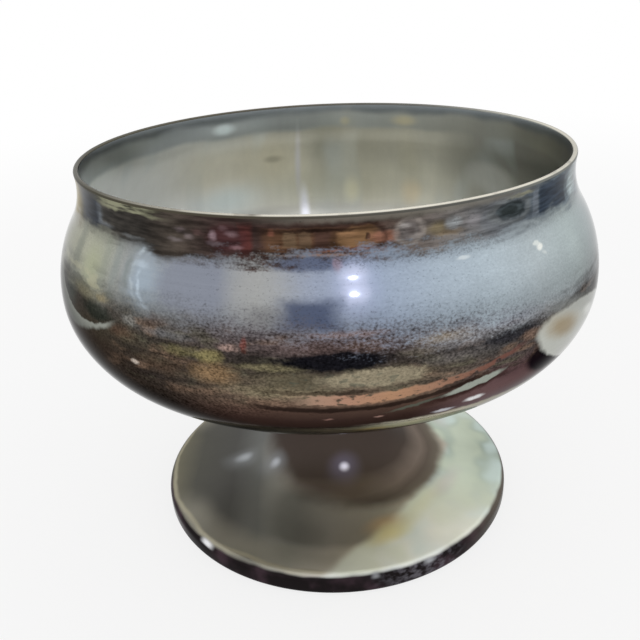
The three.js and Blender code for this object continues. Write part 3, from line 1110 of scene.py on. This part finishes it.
# Lengths in metres. The share is how much of the floor's own shading shows near the bowl.
FLOOR_REACH = 30.0
FLOOR_COLOUR = (0.9, 0.9, 0.9, 1)
SHADOW_NEAR = 0.16
SHADOW_GONE = 0.5
SHADOW_SHARE = 0.2

# How brightly the white surround lights what isn't seen directly
DIFFUSE_LEVEL = 0.8

floor_mesh = bpy.data.meshes.new("floor")
floor_mesh.from_pydata(
    [(x * FLOOR_REACH, y * FLOOR_REACH, 0) for x, y in ((-1, -1), (1, -1), (1, 1), (-1, 1))],
    [],
    [(0, 1, 2, 3)],
)
floor = bpy.data.objects.new("floor", floor_mesh)
bpy.context.scene.collection.objects.link(floor)

paper = bpy.data.materials.new("white_paper")
paper.use_nodes = True
nodes, links = paper.node_tree.nodes, paper.node_tree.links
nodes.clear()
lit = nodes.new("ShaderNodeBsdfDiffuse")
lit.inputs["Color"].default_value = FLOOR_COLOUR
plain = nodes.new("ShaderNodeEmission")
plain.inputs["Strength"].default_value = 1.0
away = nodes.new("ShaderNodeMapRange")
away.interpolation_type = "SMOOTHSTEP"
away.inputs["From Min"].default_value = SHADOW_NEAR
away.inputs["From Max"].default_value = SHADOW_GONE
away.inputs["To Min"].default_value = 1 - SHADOW_SHARE
away.inputs["To Max"].default_value = 1.0
from_middle = nodes.new("ShaderNodeVectorMath")
from_middle.operation = "LENGTH"
links.new(nodes.new("ShaderNodeTexCoord").outputs["Object"], from_middle.inputs[0])
links.new(from_middle.outputs["Value"], away.inputs["Value"])
share = nodes.new("ShaderNodeMath")
share.operation = "MULTIPLY"
links.new(away.outputs[0], share.inputs[0])
links.new(seen_directly(paper.node_tree), share.inputs[1])
blend = nodes.new("ShaderNodeMixShader")
links.new(share.outputs[0], blend.inputs[0])
links.new(lit.outputs[0], blend.inputs[1])
links.new(plain.outputs[0], blend.inputs[2])
links.new(blend.outputs[0], nodes.new("ShaderNodeOutputMaterial").inputs["Surface"])
floor_mesh.materials.append(paper)

world = bpy.data.worlds.new("white_room")
bpy.context.scene.world = world
world.use_nodes = True
background = world.node_tree.nodes["Background"]
background.inputs["Color"].default_value = (1, 1, 1, 1)
strength = world.node_tree.nodes.new("ShaderNodeMapRange")
strength.inputs["To Min"].default_value = DIFFUSE_LEVEL
strength.inputs["To Max"].default_value = 1.0
world.node_tree.links.new(seen_directly(world.node_tree), strength.inputs["Value"])
world.node_tree.links.new(strength.outputs[0], background.inputs["Strength"])


# Lamp

def toward(azimuth, elevation):
    a, e = math.radians(azimuth), math.radians(elevation)
    return Vector((math.sin(a) * math.cos(e), -math.cos(a) * math.cos(e), math.sin(e)))


def lamp(name, start, azimuth, elevation, distance, size, brightness, colour):
    """A round lamp some metres away from a point of the bowl, and facing it.

    Its brightness is how many times as bright as plain white it looks in a mirror.
    """
    light = bpy.data.lights.new(name, "AREA")
    light.shape = "DISK"
    light.size = size
    light.energy = brightness * math.pi * math.pi * (size / 2) ** 2
    light.color = colour
    fixture = bpy.data.objects.new(name, light)
    direction = toward(azimuth, elevation)
    fixture.location = Vector(start) * MM + direction * distance
    fixture.rotation_euler = direction.to_track_quat("Z", "Y").to_euler()
    bpy.context.scene.collection.objects.link(fixture)


# The bright points on the pale band
lamp(
    "spot",
    start=(3.3, -47.0, 63.9),
    azimuth=10.6,
    elevation=34.1,
    distance=0.55,
    size=0.006,
    brightness=380,
    colour=(0.86, 0.9, 1),
)


# Camera

yaw, pitch, roll = (math.radians(a) for a in (CAMERA_YAW, CAMERA_PITCH, CAMERA_ROLL))
forward = Vector(
    (math.sin(yaw) * math.cos(pitch), math.cos(yaw) * math.cos(pitch), -math.sin(pitch))
)
level_right = Vector((math.cos(yaw), -math.sin(yaw), 0))
level_up = level_right.cross(forward)
right = level_right * math.cos(roll) + level_up * math.sin(roll)
up = level_up * math.cos(roll) - level_right * math.sin(roll)

lens = bpy.data.cameras.new("camera")
lens.lens = CAMERA_LENS
lens.sensor_fit = "HORIZONTAL"
lens.sensor_width = SENSOR_WIDTH
lens.clip_start = CLIP_START
camera = bpy.data.objects.new("camera", lens)
aim = Matrix((right, up, -forward)).transposed().to_4x4()
camera.matrix_world = Matrix.Translation(Vector(CAMERA_AT) * MM) @ aim
bpy.context.scene.collection.objects.link(camera)
bpy.context.scene.camera = camera

bpy.context.scene.view_settings.view_transform = "Standard"
